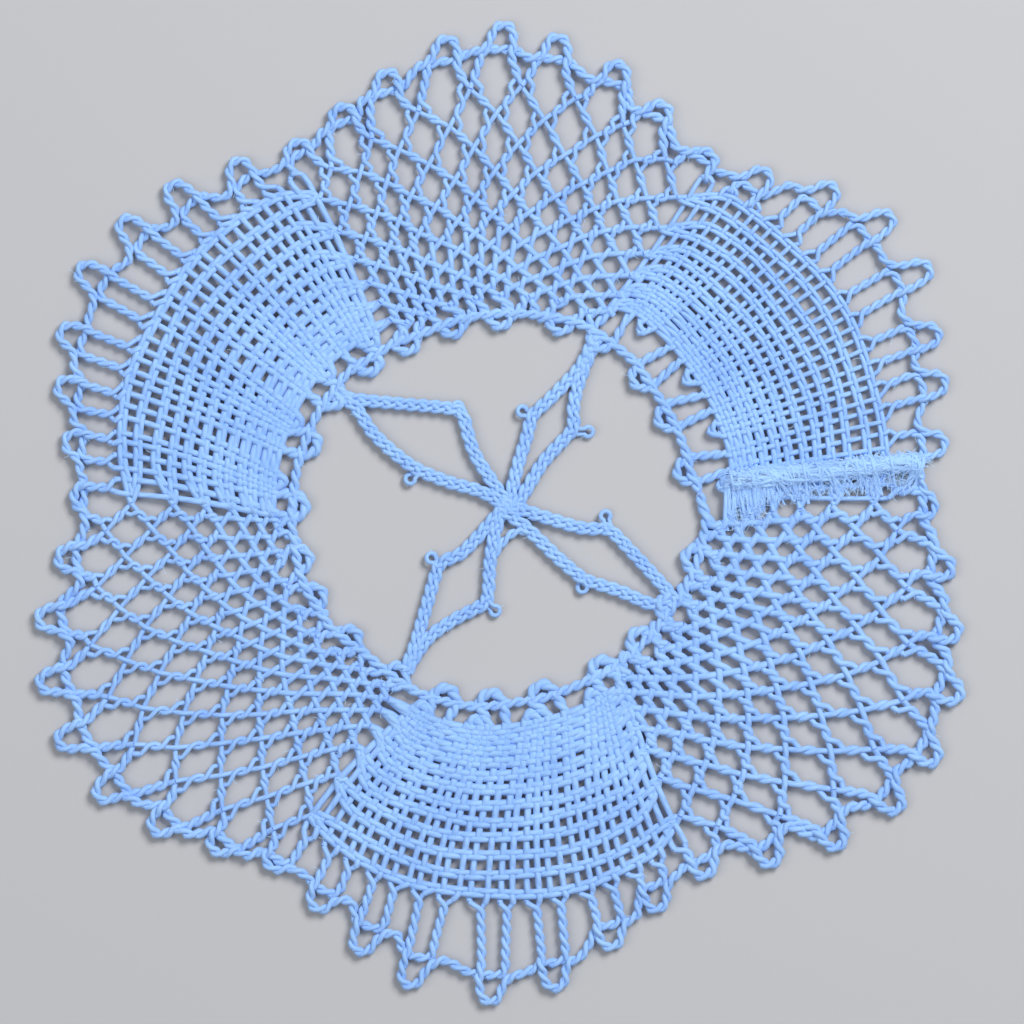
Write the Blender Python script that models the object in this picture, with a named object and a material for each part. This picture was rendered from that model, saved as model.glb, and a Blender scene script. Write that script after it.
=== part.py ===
# Round piece of bobbin lace that lies flat: a six-lobed ring with three fans of cloth stitch and
# three fans of net, picots round both edges, and a cross of plaits in the open middle.
# The whole piece is one sheet of threads, so it is one solid with its gaps cut through.
# +Z is up, out of the face. The origin is on the underside, below the middle of the piece.
# Lengths are in millimetres and angles in degrees, counted from +X round the middle of the ring.

import math
from collections import namedtuple

import bmesh
import bpy

MM = 0.001
THICKNESS = 1.2              # three threads of 0.45 mm where two pairs cross, pressed a little
RING_CENTRE = (0.4, 0.5)     # the middle of the ring, seen from the middle of the whole piece
PINS_IN_FAN = 8              # picots on the outer edge of one fan

# The outer edge is a line of twisted pairs, with a picot at every pin.
EDGE_OUTSIDE = 1.1           # from the middle of the edge line to the lace's rim
EDGE_INSIDE = 0.75
PICOT_HALF_WIDTH = 1.0
PICOT_WALL = 0.55

# The inner edge is nearly round, a little further out on the left.
INNER_RADIUS = 19.1
INNER_SHIFT = 1.15
INNER_SHIFT_TOWARDS = 195
INNER_HALF_WIDTH = 0.7
INNER_PICOT = 1.5            # reach of a picot from the inner edge line
INNER_PICOT_HALF_WIDTH = 0.85

# One fan: its ground, the edge line's radius at its first pin, the angle and radius of the edge
# line's crown, the radius of the outermost thread of the cloth, how many pins into the fan the
# net's gaps begin, and the gaps inside the cloth: their share of the band, width and height.
Fan = namedtuple("Fan", "ground notch crown_at crown cloth first_pin inner_gap")
FANS = (
    Fan("cloth", 39.4, 32, 43.4, 37.2, 1, (0.085, 2.9, 3.0)),
    Fan("net", 37.9, 93, 43.6, None, 1, None),
    Fan("cloth", 38.8, 152, 43.6, 37.8, 1, (0.050, 3.0, 1.3)),
    Fan("net", 39.9, 210, 45.2, None, 0, None),
    Fan("cloth", 39.4, 268, 44.3, 36.8, 1, (0.040, 3.0, 1.3)),
    Fan("net", 38.2, 330, 45.4, None, 0, None),
)

# The angles of the pins on the outer edge and the height of each one's picot above the edge line.
Pins = namedtuple("Pins", "angles heights")
OUTER_PINS = (
    Pins((0.5, 8.5, 16.2, 22.5, 30.0, 37.5, 44.5, 52.5), (2.1, 3.1, 3.2, 3.4, 4.2, 4.0, 3.5, 3.2)),
    Pins((60.3, 68.8, 75.5, 83.5, 90.5, 97.5, 105.7, 112.5), (1.9, 2.3, 2.9, 3.1, 3.3, 3.1, 2.8, 2.4)),
    Pins((120.2, 128.5, 136.2, 143.5, 150.8, 158.3, 165.0, 171.5), (2.1, 2.9, 3.6, 3.6, 3.7, 3.2, 3.1, 2.6)),
    Pins((178.5, 186.5, 193.8, 201.2, 208.2, 215.3, 222.5, 229.7), (1.9, 2.7, 3.2, 3.5, 3.6, 3.5, 3.0, 2.4)),
    Pins((237.0, 244.7, 252.0, 259.0, 268.3, 276.0, 284.0, 291.5), (1.9, 2.8, 3.5, 3.8, 3.5, 3.4, 3.0, 3.2)),
    Pins((299.3, 307.7, 315.3, 323.0, 330.2, 337.7, 344.6, 352.5), (2.5, 2.9, 2.9, 3.1, 2.9, 3.1, 2.9, 2.9)),
)
# The inner edge has half as many pins, four to a fan, and none where the ends are joined.
INNER_PINS = ((11.5, 29, 43.5), (60.5, 73.5, 91.5, 106), (120.5, 133, 147, 162),
              (179.5, 194, 205, 220), (237, 252.5, 266, 281.5), (301, 315.5, 329, 345))

# The net's rows of gaps that are cut, from the edge inwards: where the row lies as a share of the
# band's width, and the width and height of its gaps. The finer rows nearer the middle stay closed.
NetRow = namedtuple("NetRow", "share width height")
NET_ROWS = (
    NetRow(0.868, 2.7, 4.4),
    NetRow(0.750, 2.0, 3.7),
    NetRow(0.648, 2.1, 3.4),
    NetRow(0.546, 1.8, 3.0),
    NetRow(0.464, 1.7, 2.4),
    NetRow(0.392, 1.5, 1.9),
)

# Between the cloth and the edge line, the weaver runs out and back as twisted bars.
CLOTH_DROP = 1.6             # the cloth's outermost thread is this much lower at the fan's ends
BAR_CLEARANCE = 0.6
WIDE_SLOT = 2.3              # between one picot's bars and the next
NARROW_SLOT = 1.0            # between the two bars of one picot
PIN_GAP = (0.9, 1.3)         # beside each inner pin of the cloth

# Where the start and the finish are sewn together, the ends are bound in a low ridge.
RIDGE_ANGLE = 4.6
RIDGE_REACH = (22.0, 40.0)
RIDGE_RADIUS = 0.55
RIDGE_SINK = 0.15            # the ridge's axis lies this far under the top face

# The cross: each arm is two plaits that part at the ring and meet again in the middle. A plait is
# given by points on its centre line, from the ring to the middle, seen from the ring's middle.
# The two points of a leaf are where its gap ends, at the ring and at the middle.
PLAIT_HALF_WIDTH = 0.68
KNEE = 2                     # the point of a plait where it bends and has its own small picot
KNEE_PICOT = (0.55, 1.1)     # half its width and its reach
Arm = namedtuple("Arm", "angle cw ccw leaf")
ARMS = (
    Arm(60, ((8.1, 15.6), (6.1, 9.1), (5.9, 7.2), (2.7, 2.7)),
        ((7.4, 15.9), (5.3, 11.2), (3.0, 9.2), (2.4, 5.0)), ((6.4, 11.7), (2.6, 3.8))),
    Arm(145, ((-15.2, 10.7), (-8.8, 9.5), (-4.3, 9.3), (-2.1, 3.6)),
        ((-14.9, 10.1), (-12.5, 7.0), (-8.8, 3.9), (-3.7, 1.4)), ((-12.6, 8.6), (-2.7, 2.6))),
    Arm(237, ((-9.4, -15.2), (-6.9, -7.2), (-5.9, -5.6), (-2.0, -2.3)),
        ((-9.0, -15.4), (-7.4, -12.2), (-1.6, -8.7), (-1.1, -2.6)), ((-7.8, -11.2), (-2.2, -3.6))),
    Arm(329, ((15.2, -9.4), (9.9, -7.6), (7.6, -6.5), (1.9, -1.8)),
        ((15.2, -8.6), (11.3, -3.6), (9.6, -1.9), (2.2, -0.6)), ((12.8, -7.1), (3.8, -1.9))),
)
ROOT_HALF_WIDTH = 3.0        # half the width of an arm where it joins the ring
CROSS_CENTRE = (-0.3, 0.4)
CROSS_CORNER = 1.3           # from the centre of the cross to the corner of each large gap

WELD = 0.01                  # the caps of a curve are joined to its sides within this
LACE_COLOUR = (0.62, 0.78, 0.96, 1.0)
LACE_ROUGHNESS = 0.9


def polar(angle, radius):
    turn = math.radians(angle)
    return (RING_CENTRE[0] + radius * math.cos(turn), RING_CENTRE[1] + radius * math.sin(turn))


def from_ring_centre(point):
    return (RING_CENTRE[0] + point[0], RING_CENTRE[1] + point[1])


def edge_radius(angle):
    """Radius of the outer edge line, in smooth waves from each notch to each crown."""
    marks = []
    for turns in (-360, 0, 360):
        for fan, pins in zip(FANS, OUTER_PINS):
            marks.append((pins.angles[0] + turns, fan.notch))
            marks.append((fan.crown_at + turns, fan.crown))
    for (angle_a, radius_a), (angle_b, radius_b) in zip(marks, marks[1:]):
        if angle_a <= angle <= angle_b:
            share = (1 - math.cos(math.pi * (angle - angle_a) / (angle_b - angle_a))) / 2
            return radius_a + share * (radius_b - radius_a)
    raise ValueError("angle outside three turns")


def inner_radius(angle):
    """Radius of the inner edge line."""
    return INNER_RADIUS + INNER_SHIFT * math.cos(math.radians(angle - INNER_SHIFT_TOWARDS))


def band_radius(angle, share):
    """Radius at a share of the way from the inner edge line to the outer one."""
    inner = inner_radius(angle)
    return inner + share * (edge_radius(angle) - inner)


def pin_angle(index, pin):
    """Angle of a pin of one fan; halves are midway between two pins."""
    following = OUTER_PINS[(index + 1) % len(OUTER_PINS)].angles[0]
    angles = OUTER_PINS[index].angles + (following + (360 if index + 1 == len(OUTER_PINS) else 0),)
    before = int(pin)
    if pin == before:
        return angles[before]
    return (angles[before] + angles[before + 1]) / 2


def around(angle, radius, offsets):
    """Points given by their distance sideways and outwards from a place in the ring."""
    return [polar(angle + math.degrees(side / radius), radius + out) for side, out in offsets]


def lens(angle, radius, width, height):
    """A gap with pointed ends, as threads leave between four crossings."""
    half, tall = width / 2, height / 2
    shoulder = 0.42 * tall
    return around(angle, radius, ((0, -tall), (half, -shoulder), (half, shoulder),
                                  (0, tall), (-half, shoulder), (-half, -shoulder)))


def outer_outline():
    """The outer edge with its picots."""
    points = []
    for index, pins in enumerate(OUTER_PINS):
        for pin, (angle, height) in enumerate(zip(pins.angles, pins.heights)):
            half = PICOT_HALF_WIDTH
            shoulder = max(0.65 * height, EDGE_OUTSIDE + 0.3)
            points += around(angle, edge_radius(angle),
                             ((-half, EDGE_OUTSIDE), (-half, shoulder), (-0.5 * half, height),
                              (0.5 * half, height), (half, shoulder), (half, EDGE_OUTSIDE)))
            between = pin_angle(index, pin + 0.5)
            points.append(polar(between, edge_radius(between) + EDGE_OUTSIDE))
    return points


def picot_gaps():
    """The slender gap inside each outer picot."""
    gaps = []
    for pins in OUTER_PINS:
        for angle, height in zip(pins.angles, pins.heights):
            half = PICOT_HALF_WIDTH - PICOT_WALL
            gaps.append(around(angle, edge_radius(angle), ((0, 0.3), (half, 0.55 * height),
                                                           (0, height - PICOT_WALL),
                                                           (-half, 0.55 * height))))
    return gaps


def net_gaps():
    """The larger rows of gaps in each net fan, every other row half a pin along."""
    gaps = []
    for index, fan in enumerate(FANS):
        if fan.ground != "net":
            continue
        for number, row in enumerate(NET_ROWS):
            shifted = number % 2 == 1
            first = 0.5 if shifted else fan.first_pin
            count = PINS_IN_FAN if shifted else PINS_IN_FAN + 1 - fan.first_pin
            for column in range(count):
                angle = pin_angle(index, first + column)
                shrink = (edge_radius(angle) - inner_radius(angle)) / (fan.crown - INNER_RADIUS)
                gaps.append(lens(angle, band_radius(angle, row.share),
                                 row.width * min(1, shrink), row.height * shrink))
    return gaps


def cloth_radius(index, pin):
    """Radius of the outermost thread of a cloth fan, a shallow arc."""
    middle = 2 * pin / PINS_IN_FAN - 1
    return FANS[index].cloth - CLOTH_DROP * middle * middle


def slot(index, pin, width):
    """A gap between two bars, from the cloth out to the edge line."""
    angle = pin_angle(index, pin)
    low = cloth_radius(index, pin) + BAR_CLEARANCE
    high = edge_radius(angle) - EDGE_INSIDE
    return around(angle, (low + high) / 2, ((-0.3 * width, -(high - low) / 2),
                                            (0.3 * width, -(high - low) / 2),
                                            (width / 2, 0.3 * (high - low)),
                                            (0, (high - low) / 2),
                                            (-width / 2, 0.3 * (high - low))))


def bar_gaps():
    """The gaps between the bars outside each cloth fan."""
    gaps = []
    for index, fan in enumerate(FANS):
        if fan.ground == "cloth":
            for pin in range(1, PINS_IN_FAN):
                gaps.append(slot(index, pin, NARROW_SLOT))
                gaps.append(slot(index, pin + 0.5, WIDE_SLOT))
            if index:
                gaps.append(slot(index, 0.5, WIDE_SLOT))
    return gaps


def inner_gaps():
    """The gaps inside each cloth fan: a narrow one at each inner pin, a wide one between pins."""
    gaps = []
    for index, fan in enumerate(FANS):
        if fan.ground == "cloth":
            share, width, height = fan.inner_gap
            pins = INNER_PINS[index] + INNER_PINS[index + 1][:1]
            for here, there in zip(pins, pins[1:]):
                middle = (here + there) / 2
                gaps.append(lens(middle, band_radius(middle, share), width, height))
                gaps.append(lens(here, band_radius(here, share), *PIN_GAP))
    return gaps


def beside(path, distance):
    """Points to the left of a path (or to its right, below zero), square to its run."""
    points = []
    for number, (x, y) in enumerate(path):
        before = path[max(number - 1, 0)]
        after = path[min(number + 1, len(path) - 1)]
        run = math.hypot(after[0] - before[0], after[1] - before[1])
        points.append((x - distance * (after[1] - before[1]) / run,
                       y + distance * (after[0] - before[0]) / run))
    return [from_ring_centre(point) for point in points]


def outside_of_plait(path, side):
    """One plait's side that faces a large gap, from the ring to the middle, with its picot."""
    points = beside(path, side * PLAIT_HALF_WIDTH)
    half, reach = KNEE_PICOT
    (x, y), (x_before, y_before), (x_after, y_after) = path[KNEE], path[KNEE - 1], path[KNEE + 1]
    run = math.hypot(x_after - x_before, y_after - y_before)
    along = ((x_after - x_before) / run, (y_after - y_before) / run)
    across = (-side * along[1], side * along[0])
    picot = []
    for run_share, out in ((-1, 0), (-0.6, reach), (0.6, reach), (1, 0)):
        out += PLAIT_HALF_WIDTH
        picot.append(from_ring_centre((x + run_share * half * along[0] + out * across[0],
                                       y + run_share * half * along[1] + out * across[1])))
    return points[:KNEE] + picot + points[KNEE + 1:]


def leaf_gaps():
    """The gap between the two plaits of each arm."""
    gaps = []
    for arm in ARMS:
        outer_tip, inner_tip = (from_ring_centre(tip) for tip in arm.leaf)
        cw_side = beside(arm.cw, -PLAIT_HALF_WIDTH)[1:KNEE + 1]
        ccw_side = beside(arm.ccw, PLAIT_HALF_WIDTH)[1:KNEE + 1]
        gaps.append([outer_tip] + cw_side + [inner_tip] + ccw_side[::-1])
    return gaps


def cross_gaps():
    """The four large gaps between the arms and the ring, with the inner picots."""
    pins = [angle for fan_pins in INNER_PINS for angle in fan_pins]
    pins += [angle + 360 for angle in pins]
    clear = math.degrees(ROOT_HALF_WIDTH / INNER_RADIUS)
    gaps = []
    for arm, following in zip(ARMS, ARMS[1:] + ARMS[:1]):
        end = following.angle if following.angle > arm.angle else following.angle + 360
        points = outside_of_plait(arm.ccw, -1)[::-1]
        inside = [pin for pin in pins if arm.angle + clear < pin < end - clear]
        for number, angle in enumerate(inside):
            half = INNER_PICOT_HALF_WIDTH
            points += around(angle, inner_radius(angle) - INNER_HALF_WIDTH,
                             ((-half, 0), (-0.6 * half, -INNER_PICOT),
                              (0.6 * half, -INNER_PICOT), (half, 0)))
            if number + 1 < len(inside):
                between = (angle + inside[number + 1]) / 2
                points.append(polar(between, inner_radius(between) - INNER_HALF_WIDTH))
        points += outside_of_plait(following.cw, 1)
        corner = math.radians((arm.angle + end) / 2)
        points.append(from_ring_centre((CROSS_CENTRE[0] + CROSS_CORNER * math.cos(corner),
                                        CROSS_CENTRE[1] + CROSS_CORNER * math.sin(corner))))
        gaps.append(points)
    return gaps


def flat_sheet(name, outlines, collection):
    """A closed sheet with the given outline and gaps, its underside on the origin's plane."""
    curve = bpy.data.curves.new(name + " outline", "CURVE")
    curve.dimensions = "2D"
    curve.fill_mode = "BOTH"
    curve.extrude = THICKNESS / 2 * MM
    for outline in outlines:
        spline = curve.splines.new("POLY")
        spline.points.add(len(outline) - 1)
        spline.use_cyclic_u = True
        for point, (x, y) in zip(spline.points, outline):
            point.co = (x * MM, y * MM, 0, 1)
    outlined = bpy.data.objects.new(name + " outline", curve)
    outlined.location.z = THICKNESS / 2 * MM
    collection.objects.link(outlined)
    bpy.context.view_layer.update()
    return joined_mesh(outlined, name)


def joined_mesh(curve_object, name):
    """The closed mesh of a curve object, which it replaces."""
    evaluated = curve_object.evaluated_get(bpy.context.evaluated_depsgraph_get())
    mesh = bpy.data.meshes.new_from_object(evaluated)
    mesh.name = name
    made = bpy.data.objects.new(name, mesh)
    made.matrix_world = curve_object.matrix_world
    curve_object.users_collection[0].objects.link(made)
    bpy.data.objects.remove(curve_object)
    cage = bmesh.new()
    cage.from_mesh(mesh)
    bmesh.ops.remove_doubles(cage, verts=cage.verts, dist=WELD * MM)
    bmesh.ops.recalc_face_normals(cage, faces=cage.faces)
    cage.to_mesh(mesh)
    cage.free()
    return made


def ridge(collection):
    """The bound ends along the join, as a rod to be joined to the sheet."""
    curve = bpy.data.curves.new("ridge line", "CURVE")
    curve.dimensions = "3D"
    curve.bevel_depth = RIDGE_RADIUS * MM
    curve.bevel_resolution = 2
    curve.use_fill_caps = True
    spline = curve.splines.new("POLY")
    spline.points.add(len(RIDGE_REACH) - 1)
    for point, radius in zip(spline.points, RIDGE_REACH):
        x, y = polar(RIDGE_ANGLE, radius)
        point.co = (x * MM, y * MM, (THICKNESS - RIDGE_SINK) * MM, 1)
    line = bpy.data.objects.new("ridge line", curve)
    collection.objects.link(line)
    bpy.context.view_layer.update()
    rod = joined_mesh(line, "ridge rod")
    rod.hide_render = True
    rod.display_type = "WIRE"
    return rod


def thread_material():
    material = bpy.data.materials.new("pale thread")
    material.use_nodes = True
    shader = material.node_tree.nodes["Principled BSDF"]
    shader.inputs["Base Color"].default_value = LACE_COLOUR
    shader.inputs["Roughness"].default_value = LACE_ROUGHNESS
    shader.inputs["Metallic"].default_value = 0.0
    return material


def main():
    for old in list(bpy.data.objects):
        bpy.data.objects.remove(old)
    collection = bpy.data.collections.new("bobbin lace piece")
    tools = bpy.data.collections.new("joined shapes")
    for group in (collection, tools):
        bpy.context.scene.collection.children.link(group)
    gaps = net_gaps() + bar_gaps() + picot_gaps() + inner_gaps() + leaf_gaps() + cross_gaps()
    print("gaps cut through:", len(gaps))
    lace = flat_sheet("lace", [outer_outline()] + gaps, collection)
    join = lace.modifiers.new("join ridge", "BOOLEAN")
    join.operation = "UNION"
    join.object = ridge(tools)
    lace.data.materials.append(thread_material())


main()
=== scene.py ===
# Round piece of bobbin lace, built thread by thread over its flat frame.
# Lengths are in millimetres and angles in degrees, counterclockwise from +X, until a mesh is made.
import math
import random

import bpy
import numpy as np
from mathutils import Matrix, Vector


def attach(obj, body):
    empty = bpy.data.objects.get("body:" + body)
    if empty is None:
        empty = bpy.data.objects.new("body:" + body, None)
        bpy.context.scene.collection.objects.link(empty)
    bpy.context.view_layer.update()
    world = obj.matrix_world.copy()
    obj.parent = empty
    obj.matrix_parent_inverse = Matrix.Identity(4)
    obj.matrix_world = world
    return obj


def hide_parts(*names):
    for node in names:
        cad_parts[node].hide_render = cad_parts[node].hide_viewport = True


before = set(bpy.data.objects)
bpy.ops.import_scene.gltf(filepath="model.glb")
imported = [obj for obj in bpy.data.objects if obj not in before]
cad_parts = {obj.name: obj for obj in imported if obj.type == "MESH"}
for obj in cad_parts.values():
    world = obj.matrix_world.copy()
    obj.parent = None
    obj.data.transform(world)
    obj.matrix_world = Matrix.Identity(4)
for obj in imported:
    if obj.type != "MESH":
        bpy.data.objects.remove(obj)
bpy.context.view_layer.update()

mm = 0.001
print("frame loaded")

# what a user would change
thread = {"radius": 0.25, "level": 0.7, "lift": 0.19, "beside": 0.24, "halfTwist": 1.15,
          # net and cloth threads are wider inside this radius, growing over this many millimetres
          "swell": 0.2, "swellFrom": 34, "swellOver": 10}
# the inner edge wanders a little: its radius at a few angles
ring = {"centre": (0.4, 0.5),
        "inner": ((-12, 19.0), (-3, 19.05), (4, 18.5), (11, 17.9), (20, 17.9), (36, 17.95), (51, 18.5),
                  (67, 18.8), (84, 18.5), (99, 18.4), (114, 18.25), (127, 18.9), (142, 19.7), (155, 19.9),
                  (171, 20.05), (187, 20.25), (200, 20.4), (211, 20.1), (229, 19.1), (245, 19.35),
                  (258, 19.1), (276, 18.4), (293, 18.15), (308, 18.25), (322, 18.3), (337, 18.7))}
clothFan = {"drop": 1.6, "columns": 32, "gap": 0.205, "bunching": 2.2, "wander": 0.16, "passWander": 0.28,
            "even": 0.75, "foot": 0.55,
            # the weaver's even turns hook round in the cloth, and its odd ones round the inner edge line
            "hook": 0.55, "deepHook": 0.8, "halfTurns": (1.5, 2.3), "turnClear": (0.3, 0.35),
            "shares": (1, 0.91, 0.82, 0.735, 0.66, 0.585, 0.51, 0.445, 0.38, 0.325, 0.27, 0.225)}
# a fan's radii, its threads' radii, its pins' angles and its picots' heights; a net fan also has how far
# its rows shift and lean sideways, and a cloth fan the angles of its weaver's turns
fans = [
    {"ground": "cloth", "notch": 39.4, "crownAt": 32, "crown": 43.4, "cloth": 37.2, "innermost": 0.225,
     "thread": 0.235, "edgeThread": 0.235,
     "pins": (0.5, 8.5, 16.2, 22.5, 30.0, 37.5, 44.5, 52.5),
     "heights": (2.1, 3.1, 3.2, 3.4, 4.2, 4.0, 3.5, 3.2),
     "turns": (6.5, 11.5, 21, 28, 35.5, 42.5, 54, 60.5)},
    {"ground": "net", "notch": 37.9, "crownAt": 93, "crown": 43.6, "thread": 0.24, "edgeThread": 0.265,
     "shift": 0.75, "lean": (2.2, 4.5, 1.3), "spread": (1.0, 0, 0.9),
     "pins": (60.3, 68.8, 75.5, 83.5, 90.5, 97.5, 105.7, 112.5),
     "heights": (1.9, 2.3, 2.9, 3.1, 3.3, 3.1, 2.8, 2.4)},
    {"ground": "cloth", "notch": 38.8, "crownAt": 152, "crown": 43.6, "cloth": 37.8, "innermost": 0.13,
     "thread": 0.29, "edgeThread": 0.25,
     "pins": (120.2, 128.5, 136.2, 143.5, 150.8, 158.3, 165.0, 171.5),
     "heights": (2.1, 2.9, 3.6, 3.6, 3.7, 3.2, 3.1, 2.6),
     "turns": (129, 134.5, 143, 148, 158, 163.5, 174, 179.5)},
    {"ground": "net", "notch": 39.9, "crownAt": 210, "crown": 45.2, "thread": 0.24, "edgeThread": 0.28,
     "shift": 0.75, "lean": (2.5, 2.3, 1.6), "spread": (0.45, 0, -0.2),
     "pins": (178.5, 186.5, 193.8, 201.2, 208.2, 215.3, 222.5, 229.7),
     "heights": (1.9, 2.7, 3.2, 3.5, 3.6, 3.5, 3.0, 2.4)},
    {"ground": "cloth", "notch": 39.4, "crownAt": 268, "crown": 44.3, "cloth": 36.8, "innermost": 0.125,
     "thread": 0.305, "edgeThread": 0.265,
     "pins": (237.0, 244.7, 252.0, 259.0, 268.3, 276.0, 284.0, 291.5),
     "heights": (1.9, 2.8, 3.5, 3.8, 3.5, 3.4, 3.0, 3.2),
     "turns": (248, 253, 263, 269, 278, 285, 296, 301.5)},
    {"ground": "net", "notch": 38.2, "crownAt": 330, "crown": 45.4, "thread": 0.297, "edgeThread": 0.295,
     "shift": 0.25, "lean": (2.3, -2.1, -2.5), "spread": (0.5, 0.25, 0.8),
     "pins": (299.3, 307.7, 315.3, 323.0, 330.2, 337.7, 344.6, 352.5),
     "heights": (2.5, 2.9, 2.9, 3.1, 2.9, 3.1, 2.9, 2.9)},
]
innerPins = (11.5, 29, 43.5, 60.5, 73.5, 91.5, 106, 120.5, 133, 147, 162, 179.5,
             194, 205, 220, 237, 252.5, 266, 281.5, 301, 315.5, 329, 345)
# one row of the net's crossings: its share of the band's width in the middle of a fan and at a
# fan's end, how much of the fan's lean it has, half its crossing's width, and where the two
# threads of a pair cross on the way to the next row
netRows = [
    None,
    {"share": 0.874, "atEnd": 0.878, "lean": 0.00, "half": 1.14, "twists": (0.34, 0.68)},
    {"share": 0.756, "atEnd": 0.786, "lean": 0.00, "half": 1.12, "twists": (0.33, 0.67)},
    {"share": 0.641, "atEnd": 0.690, "lean": 0.05, "half": 1.06, "twists": (0.33, 0.67)},
    {"share": 0.540, "atEnd": 0.604, "lean": 0.12, "half": 1.00, "twists": (0.34, 0.66)},
    {"share": 0.452, "atEnd": 0.530, "lean": 0.20, "half": 0.95, "twists": (0.35, 0.65)},
    {"share": 0.378, "atEnd": 0.455, "lean": 0.33, "half": 0.92, "twists": (0.37, 0.63)},
    {"share": 0.316, "atEnd": 0.390, "lean": 0.44, "half": 0.88, "twists": (0.5,)},
    {"share": 0.264, "atEnd": 0.325, "lean": 0.57, "half": 0.84, "twists": (0.5,)},
    {"share": 0.215, "atEnd": 0.265, "lean": 0.70, "half": 0.80, "twists": (0.5,)},
    {"share": 0.170, "atEnd": 0.210, "lean": 0.84, "half": 0.76, "twists": (0.5,)},
    {"share": 0.135, "atEnd": 0.160, "lean": 0.93, "half": 0.73, "twists": (0.5,)},
    {"share": 0.101, "atEnd": 0.115, "lean": 1.00, "half": 0.70, "twists": (0.5,)},
    {"share": 0.067, "atEnd": 0.073, "lean": 1.00, "half": 0.68, "twists": ()},
]
netWander = 0.22
pinCount = 8 * len(fans)


# the ring's lines
def place(angle, radius, side=0.0, out=0.0, lift=0.0):
    # side is counterclockwise and out is away from the middle
    turn = math.radians(angle) + side / radius
    return np.array((ring["centre"][0] + (radius + out) * math.cos(turn),
                     ring["centre"][1] + (radius + out) * math.sin(turn), thread["level"] + lift))


def fanAt(g):
    # g counts pins round the whole ring, 8 to a fan
    return fans[int(g // 8) % len(fans)]


def pinAngle(g):
    before = math.floor(g)
    here = fanAt(before)["pins"][before % 8] + 360 * (before // pinCount)
    if g == before:
        return here
    after = before + 1
    there = fanAt(after)["pins"][after % 8] + 360 * (after // pinCount)
    return here + (g - before) * (there - here)


def apart(angleA, angleB):
    return (angleA - angleB + 180) % 360 - 180


chance = random.Random(7)
# where the outer edge swells or draws in: angle, how much, over how many degrees
edgeSwells = ((24, -0.7, 7), (53, -0.7, 6), (73, 1.15, 9), (101, -0.75, 7), (133, 0.35, 5), (195, 0.85, 7),
              (228, 0.8, 9), (290, -0.65, 8), (313, 1.2, 9), (355, 0.5, 6))
edgeMarks = []
for turns in (-360, 0, 360, 720):
    for fan in fans:
        edgeMarks += [(fan["pins"][0] + turns, fan["notch"]), (fan["crownAt"] + turns, fan["crown"])]


def edgeRadius(angle):
    for (angleA, radiusA), (angleB, radiusB) in zip(edgeMarks, edgeMarks[1:]):
        if angleA <= angle <= angleB:
            share = (1 - math.cos(math.pi * (angle - angleA) / (angleB - angleA))) / 2
            radius = radiusA + share * (radiusB - radiusA)
            return radius + sum(more * math.exp(-(apart(angle, at) / width) ** 2) for at, more, width in edgeSwells)


def innerRadius(angle):
    marks = ring["inner"]
    angle = (angle - marks[0][0]) % 360 + marks[0][0]
    for (angleA, radiusA), (angleB, radiusB) in zip(marks, marks[1:] + ((marks[0][0] + 360, marks[0][1]),)):
        if angleA <= angle <= angleB:
            share = (1 - math.cos(math.pi * (angle - angleA) / (angleB - angleA))) / 2
            return radiusA + share * (radiusB - radiusA)


def bandRadius(angle, share):
    return innerRadius(angle) + share * (edgeRadius(angle) - innerRadius(angle))


def clothRadius(first, u):
    middle = 2 * u / 8 - 1
    return fans[first // 8 % len(fans)]["cloth"] - clothFan["drop"] * middle * middle


# threads
strands = {}           # the threads of each piece, as points and a radius


def addStrand(piece, points, before=None, after=None, steps=2, radius=None):
    strands.setdefault(piece, []).append((smoothed(points, steps, before, after),
                                          radius or thread["radius"]))


def smoothed(points, steps, before=None, after=None):
    # a smooth line through the points; before and after only give the slope at its ends
    points = list(points)
    before = 2 * points[0] - points[1] if before is None else before
    after = 2 * points[-1] - points[-2] if after is None else after
    p = np.array([before] + points + [after])
    gap = np.maximum(np.linalg.norm(np.diff(p, axis=0), axis=1) ** 0.5, 1e-4)[:, None]
    p0, p1, p2, p3 = p[:-3], p[1:-2], p[2:-1], p[3:]
    d01, d12, d23 = gap[:-2], gap[1:-1], gap[2:]
    m1 = ((p1 - p0) / d01 - (p2 - p0) / (d01 + d12) + (p2 - p1) / d12) * d12
    m2 = ((p2 - p1) / d12 - (p3 - p1) / (d12 + d23) + (p3 - p2) / d23) * d12
    pieces = []
    for step in range(steps):
        t = step / steps
        pieces.append((2 * t**3 - 3 * t**2 + 1) * p1 + (t**3 - 2 * t**2 + t) * m1
                      + (3 * t**2 - 2 * t**3) * p2 + (t**3 - t**2) * m2)
    line = np.stack(pieces, axis=1).reshape(-1, 3)
    return np.vstack([line, p[-2:-1]])


def lengthsAlong(line):
    return np.concatenate([[0], np.cumsum(np.linalg.norm(np.diff(line, axis=0), axis=1))])


def besideLine(line, run, distance, side, lift, reach):
    # a point to the left of the line, this far along it; reach is how far both ways its heading is measured
    point = np.array([np.interp(distance, run, line[:, k]) for k in range(3)])
    ahead = np.array([np.interp(distance + reach, run, line[:, k]) - np.interp(distance - reach, run, line[:, k])
                      for k in range(2)])
    ahead /= np.hypot(*ahead)
    return point + np.array((-ahead[1] * side, ahead[0] * side, lift))


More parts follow.
